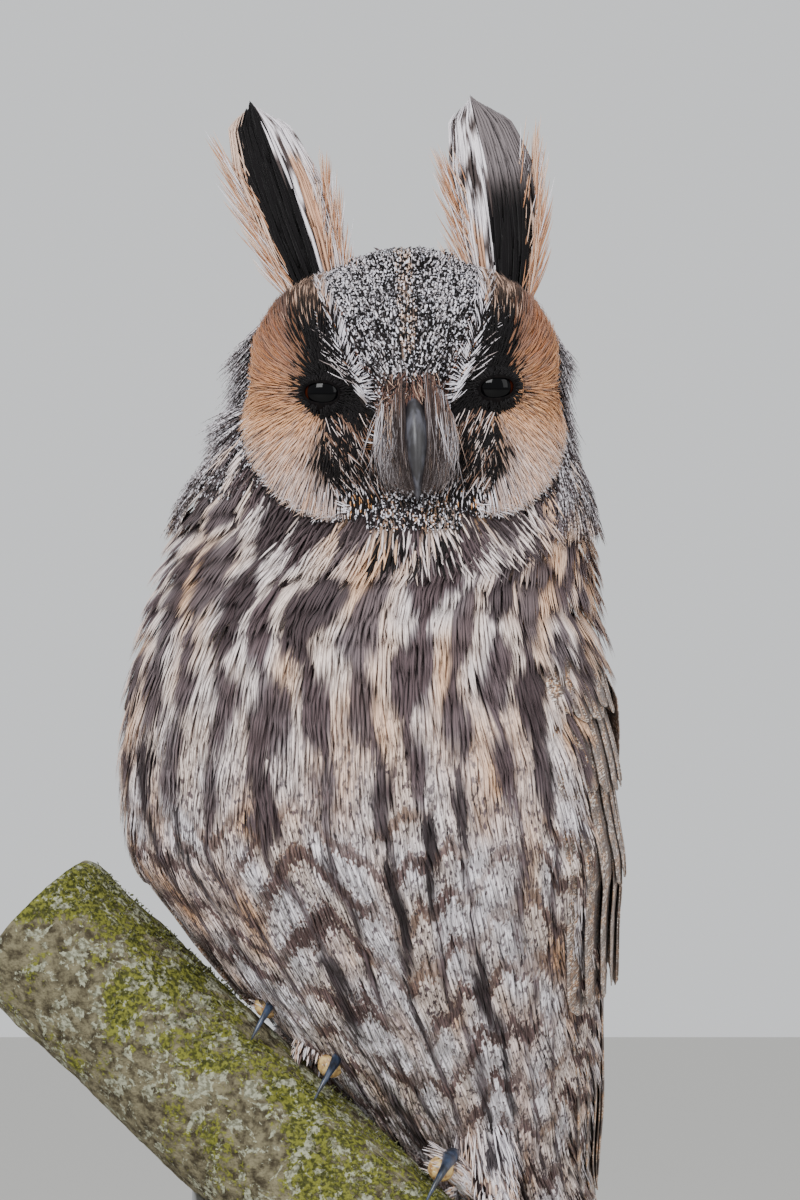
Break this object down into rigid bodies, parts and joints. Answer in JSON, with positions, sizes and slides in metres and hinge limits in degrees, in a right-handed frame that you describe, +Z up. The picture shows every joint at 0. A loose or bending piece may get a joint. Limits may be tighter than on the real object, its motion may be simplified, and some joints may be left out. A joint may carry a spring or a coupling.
{
  "type": "long-eared owl on a branch perch",
  "caption": "Life-size long-eared owl with raised ear tufts, closed wings and hanging tail, gripping a sloping mossy branch on a flat display stand.",
  "frame": {"origin": "middle of the underside of the stand's base", "axes": "+Z up; the owl's face looks along -Y and its own left side is towards +X"},
  "size_m": [0.211, 0.17, 0.4133],
  "materials": {
    "plumage": "soft mottled feathers",
    "flight_feathers": "barred stiff feathers",
    "eye": "wet dark eye with an orange ring",
    "lid_skin": "dark bare skin",
    "horn": "slate horn",
    "bark": "bark with moss and lichen",
    "base_wood": "satin dark wood",
    "rod_metal": "brushed"
  },
  "bodies": {
    "root": {"head": "plumage", "neck": "plumage", "torso": "plumage", "tail": "flight_feathers", "wing_right": "flight_feathers", "wing_left": "flight_feathers", "ear_tuft_right": "plumage", "ear_tuft_left": "plumage", "eye_right": "eye", "eye_left": "eye", "lids_right": "lid_skin", "lids_left": "lid_skin", "bill_upper": "horn", "bill_lower": "horn", "leg_right": "plumage", "leg_left": "plumage", "foot_right": "plumage", "foot_left": "plumage", "claw_right_outer_front": "horn", "claw_right_inner_front": "horn", "claw_right_outer_back": "horn", "claw_right_inner_back": "horn", "claw_left_outer_front": "horn", "claw_left_inner_front": "horn", "claw_left_outer_back": "horn", "claw_left_inner_back": "horn", "perch_branch": "bark", "stand_base": "base_wood", "stand_rod_upper": "rod_metal", "stand_rod_lower": "rod_metal"}
  },
  "joints": []
}
